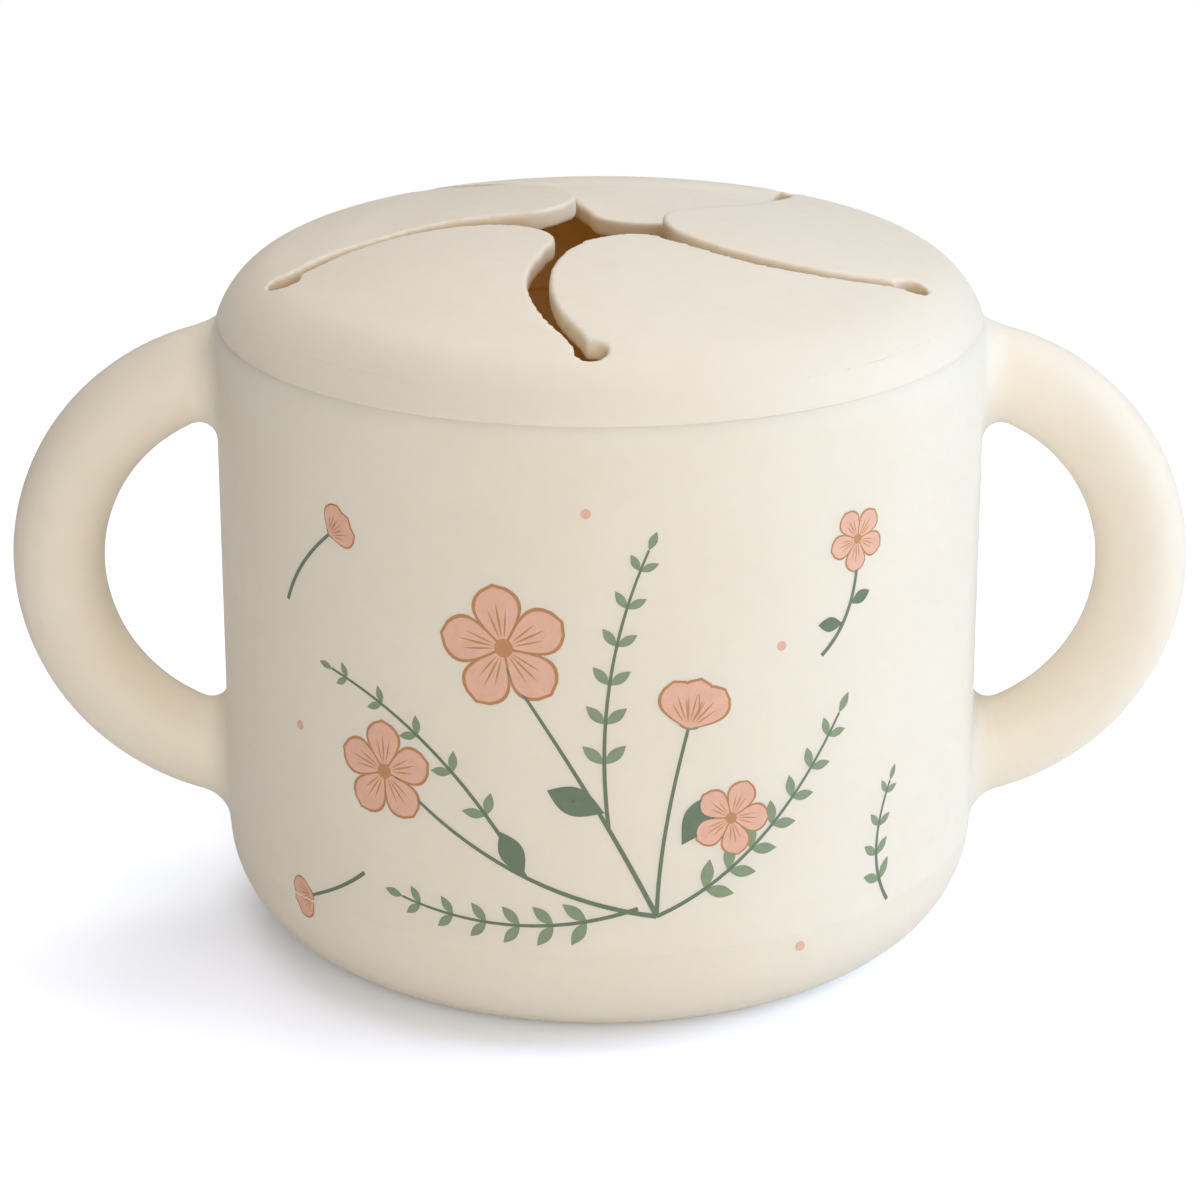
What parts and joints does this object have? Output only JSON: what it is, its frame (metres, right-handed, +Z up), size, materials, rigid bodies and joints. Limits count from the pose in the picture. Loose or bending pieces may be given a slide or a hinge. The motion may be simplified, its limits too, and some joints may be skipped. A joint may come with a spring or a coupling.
{
  "type": "toddler snack container",
  "caption": "Round silicone snack cup with two half-ring handles and a domed plug-in lid whose soft curved flaps let a small hand in and keep snacks from spilling.",
  "frame": {"origin": "centre of the foot ring, on the surface that the cup stands on", "axes": "+Z up along the cup's axis, +X through the right handle, -Y to the front"},
  "size_m": [0.1326, 0.0852, 0.0819],
  "materials": {
    "cup_silicone": "matt, smooth cream silicone",
    "lid_silicone": "matt, smooth cream silicone"
  },
  "bodies": {
    "cup": {"cup_shell": "cup_silicone", "handle_left": "cup_silicone", "handle_right": "cup_silicone"},
    "lid": {"lid_cap": "lid_silicone"},
    "flap_1": {"flap_1": "lid_silicone"},
    "flap_2": {"flap_2": "lid_silicone"},
    "flap_3": {"flap_3": "lid_silicone"},
    "flap_4": {"flap_4": "lid_silicone"},
    "flap_5": {"flap_5": "lid_silicone"}
  },
  "joints": [
    {"name": "lid_pull_off", "type": "slide", "parent": "cup", "child": "lid", "axis": [0, 0, 1], "range_m": [0, 0.06]},
    {"name": "flap_1_bend", "type": "hinge", "parent": "lid", "child": "flap_1", "pos_m": [0.01627, -0.02367, 0.07702], "axis": [0.8241, 0.5664, 0], "range_deg": [-55, 30], "stiffness_Nm_per_rad": 0.01, "springref_deg": 0.86},
    {"name": "flap_2_bend", "type": "hinge", "parent": "lid", "child": "flap_2", "pos_m": [0.02754, 0.00816, 0.07702], "axis": [-0.284, 0.9588, 0], "range_deg": [-55, 30], "stiffness_Nm_per_rad": 0.01, "springref_deg": 0.86},
    {"name": "flap_3_bend", "type": "hinge", "parent": "lid", "child": "flap_3", "pos_m": [0.00075, 0.02871, 0.07702], "axis": [-0.9997, 0.0262, 0], "range_deg": [-55, 30], "stiffness_Nm_per_rad": 0.01, "springref_deg": 0.86},
    {"name": "flap_4_bend", "type": "hinge", "parent": "lid", "child": "flap_4", "pos_m": [-0.02707, 0.00959, 0.07702], "axis": [-0.3338, -0.9426, 0], "range_deg": [-55, 30], "stiffness_Nm_per_rad": 0.01, "springref_deg": 0.86},
    {"name": "flap_5_bend", "type": "hinge", "parent": "lid", "child": "flap_5", "pos_m": [-0.01748, -0.02279, 0.07702], "axis": [0.7934, -0.6088, 0], "range_deg": [-55, 30], "stiffness_Nm_per_rad": 0.01, "springref_deg": 0.86}
  ]
}
